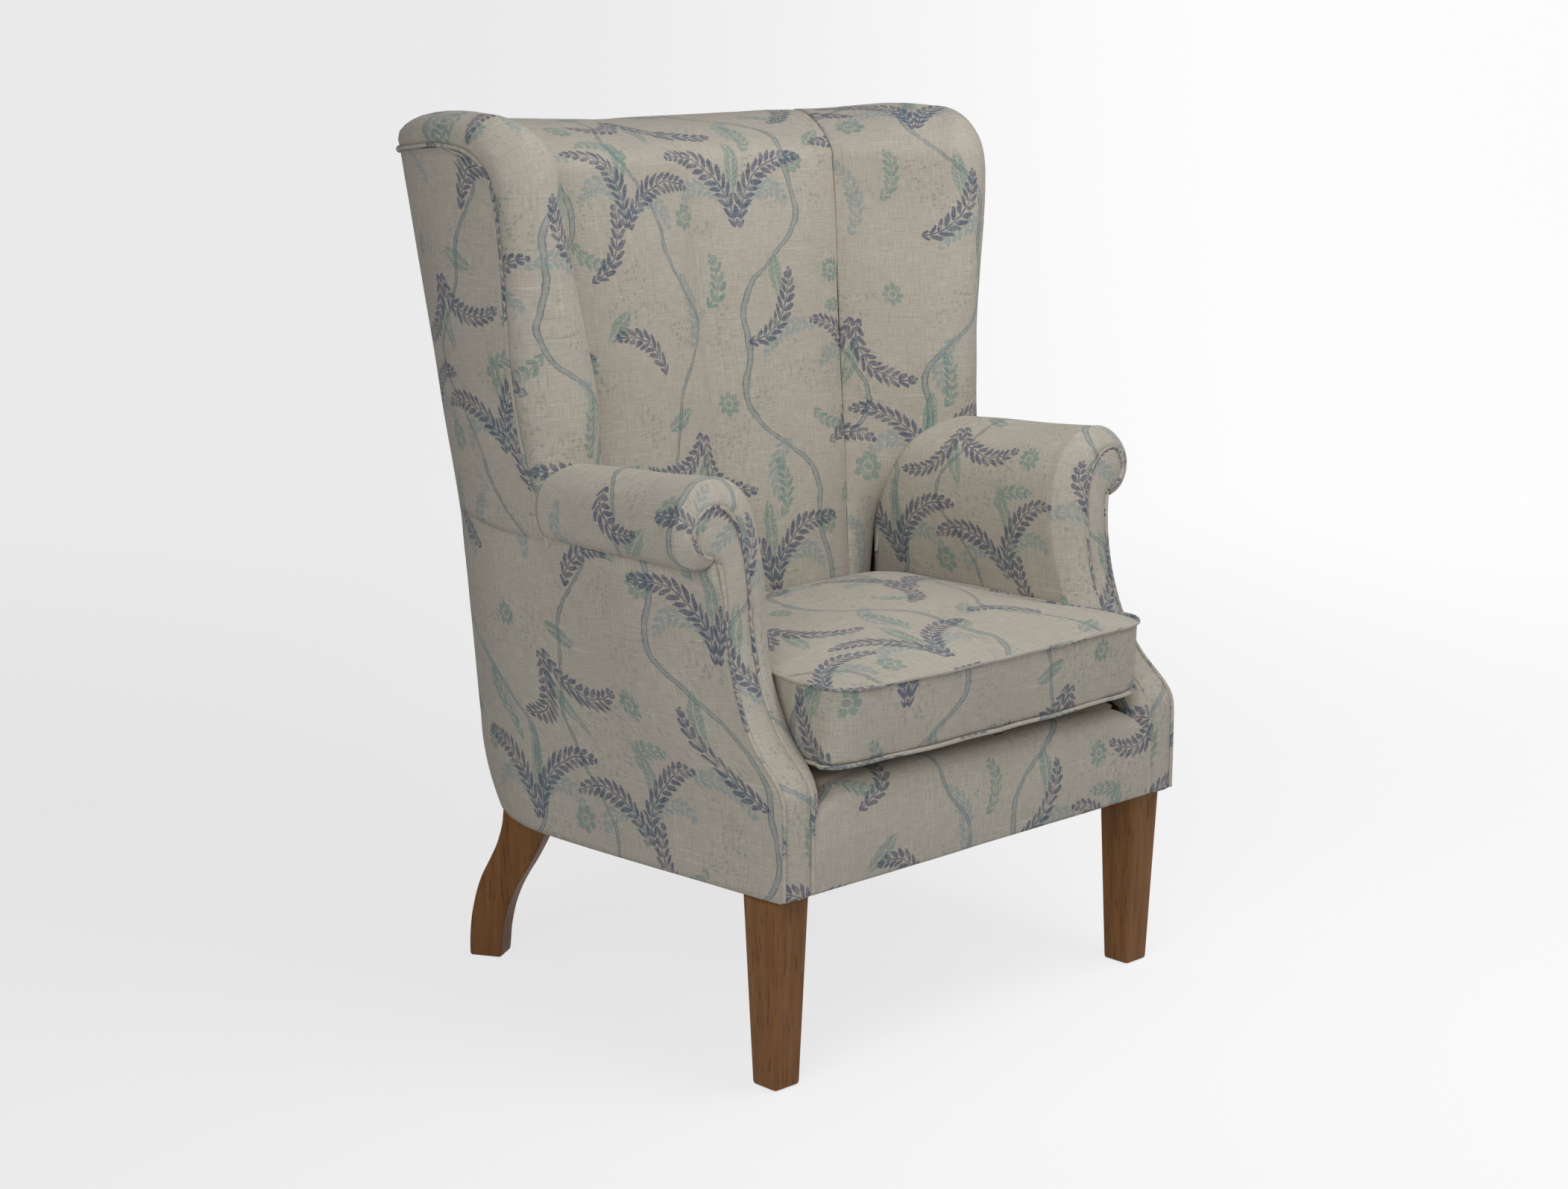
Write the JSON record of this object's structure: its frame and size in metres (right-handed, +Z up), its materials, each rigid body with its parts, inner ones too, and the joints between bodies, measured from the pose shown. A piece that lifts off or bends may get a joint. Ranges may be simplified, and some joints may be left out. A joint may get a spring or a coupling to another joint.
{
  "type": "upholstered wing armchair",
  "caption": "Wing armchair with a fluted curved back, padded wings, rolled arms with scroll facings, a loose box cushion on a padded base, and tapered front and swept rear wooden legs.",
  "frame": {"origin": "on the floor under the middle of the chair's bounding box", "axes": "+Z up, the sitter looks along -Y, +X to the right when looking along +Y"},
  "size_m": [0.7832, 0.7605, 1.0235],
  "materials": {
    "printed_linen": "printed linen over wadding",
    "fabric_piping": "linen piping",
    "zip_tape": "woven tape",
    "foam": "foam",
    "deck_cloth": "plain lining cloth over felt",
    "webbing": "elastic webbing",
    "dust_cloth": "black non-woven cloth",
    "stained_wood": "stained oak, satin",
    "frame_wood": "bare beech",
    "plywood": "bare plywood",
    "steel": "zinc plated",
    "glide_plastic": "matte"
  },
  "bodies": {
    "frame": {"arm_pad_left": "printed_linen", "arm_pad_right": "printed_linen", "arm_rail_left": "frame_wood", "arm_rail_right": "frame_wood", "arm_seam_piping_left": "fabric_piping", "arm_seam_piping_right": "fabric_piping", "arm_stump_left": "frame_wood", "arm_stump_right": "frame_wood", "back_former_high": "plywood", "back_former_low": "plywood", "back_former_mid": "plywood", "back_post_left": "frame_wood", "back_post_right": "frame_wood", "back_webbing": "webbing", "bent_rail": "frame_wood", "corner_block_left": "frame_wood", "corner_block_right": "frame_wood", "dust_cover": "dust_cloth", "facing_left": "printed_linen", "facing_piping_left": "fabric_piping", "facing_piping_right": "fabric_piping", "facing_right": "printed_linen", "front_border": "printed_linen", "front_leg_left": "stained_wood", "front_leg_right": "stained_wood", "front_rail": "frame_wood", "glides": "glide_plastic", "inside_back": "printed_linen", "inside_wing_left": "printed_linen", "inside_wing_right": "printed_linen", "leg_bolts": "steel", "outside_arm_left": "printed_linen", "outside_arm_right": "printed_linen", "outside_back": "printed_linen", "outside_wing_left": "printed_linen", "outside_wing_right": "printed_linen", "rear_leg_left": "stained_wood", "rear_leg_right": "stained_wood", "rear_rail": "frame_wood", "seat_deck": "deck_cloth", "seat_springs": "steel", "side_rail_left": "frame_wood", "side_rail_right": "frame_wood", "spring_clips": "steel", "top_rail": "frame_wood", "wing_piping_left": "fabric_piping", "wing_piping_right": "fabric_piping", "wing_post_left": "frame_wood", "wing_post_right": "frame_wood"},
    "cushion": {"cushion_core": "foam", "cushion_cover": "printed_linen", "cushion_piping": "fabric_piping", "cushion_zip": "zip_tape"}
  },
  "joints": [
    {"name": "cushion_slide", "type": "slide", "parent": "frame", "child": "cushion", "axis": [0, -1, 0], "range_m": [0, 0.25]}
  ]
}
